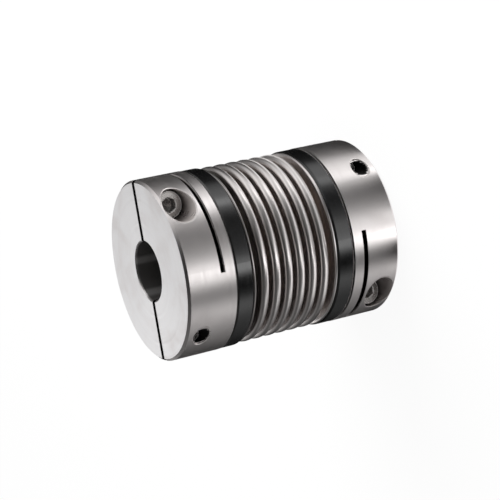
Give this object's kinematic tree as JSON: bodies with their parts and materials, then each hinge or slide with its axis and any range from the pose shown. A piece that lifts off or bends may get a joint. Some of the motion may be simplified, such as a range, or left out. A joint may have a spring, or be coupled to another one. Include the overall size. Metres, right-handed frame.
{
  "type": "metal bellows coupling",
  "caption": "Flexible shaft coupling: a thin stainless bellows between two aluminium clamp hubs with black rings; the clamp screws lie across the end slits.",
  "frame": {"origin": "centre of the lower hub's end face, which the coupling stands on", "axes": "+Z along the shaft axis from the lower hub to the upper one; X along the clamp screws; the hubs' end slits lie in the plane X = 0"},
  "size_m": [0.055, 0.055, 0.071],
  "materials": {
    "hub_metal": "fine turned aluminium, satin",
    "black_anodised": "black anodised, satin",
    "bellows_steel": "bright formed stainless steel",
    "screw_steel": "plated steel, satin"
  },
  "bodies": {
    "lower_group": {"bottom_hub": "hub_metal", "bottom_collar": "black_anodised"},
    "bellows_body": {"bellows": "bellows_steel"},
    "upper_group": {"top_hub": "hub_metal", "top_collar": "black_anodised"},
    "top_screw_a": {"top_screw_a": "screw_steel"},
    "top_screw_b": {"top_screw_b": "screw_steel"},
    "bottom_screw_a": {"bottom_screw_a": "screw_steel"},
    "bottom_screw_b": {"bottom_screw_b": "screw_steel"}
  },
  "joints": [
    {"name": "axial_travel", "type": "slide", "parent": "lower_group", "child": "bellows_body", "axis": [0, 0, 1], "range_m": [-0.001, 0.001], "stiffness_N_per_m": 60000, "deforming": ["bellows"]},
    {"name": "tilt", "type": "hinge", "parent": "bellows_body", "child": "upper_group", "pos_m": [0, 0, 0.0355], "axis": [1, 0, 0], "range_deg": [-1.5, 1.5], "stiffness_Nm_per_rad": 14, "deforming": ["bellows"]},
    {"name": "top_screw_a_turn", "type": "hinge", "parent": "upper_group", "child": "top_screw_a", "pos_m": [0.007, 0.01925, 0.06585], "axis": [1, 0, 0], "range_deg": [0, 180]},
    {"name": "top_screw_b_turn", "type": "hinge", "parent": "upper_group", "child": "top_screw_b", "pos_m": [-0.007, -0.01925, 0.06585], "axis": [-1, 0, 0], "range_deg": [0, 180]},
    {"name": "bottom_screw_a_turn", "type": "hinge", "parent": "lower_group", "child": "bottom_screw_a", "pos_m": [0.007, -0.01925, 0.00515], "axis": [1, 0, 0], "range_deg": [0, 180]},
    {"name": "bottom_screw_b_turn", "type": "hinge", "parent": "lower_group", "child": "bottom_screw_b", "pos_m": [-0.007, 0.01925, 0.00515], "axis": [-1, 0, 0], "range_deg": [0, 180]}
  ]
}
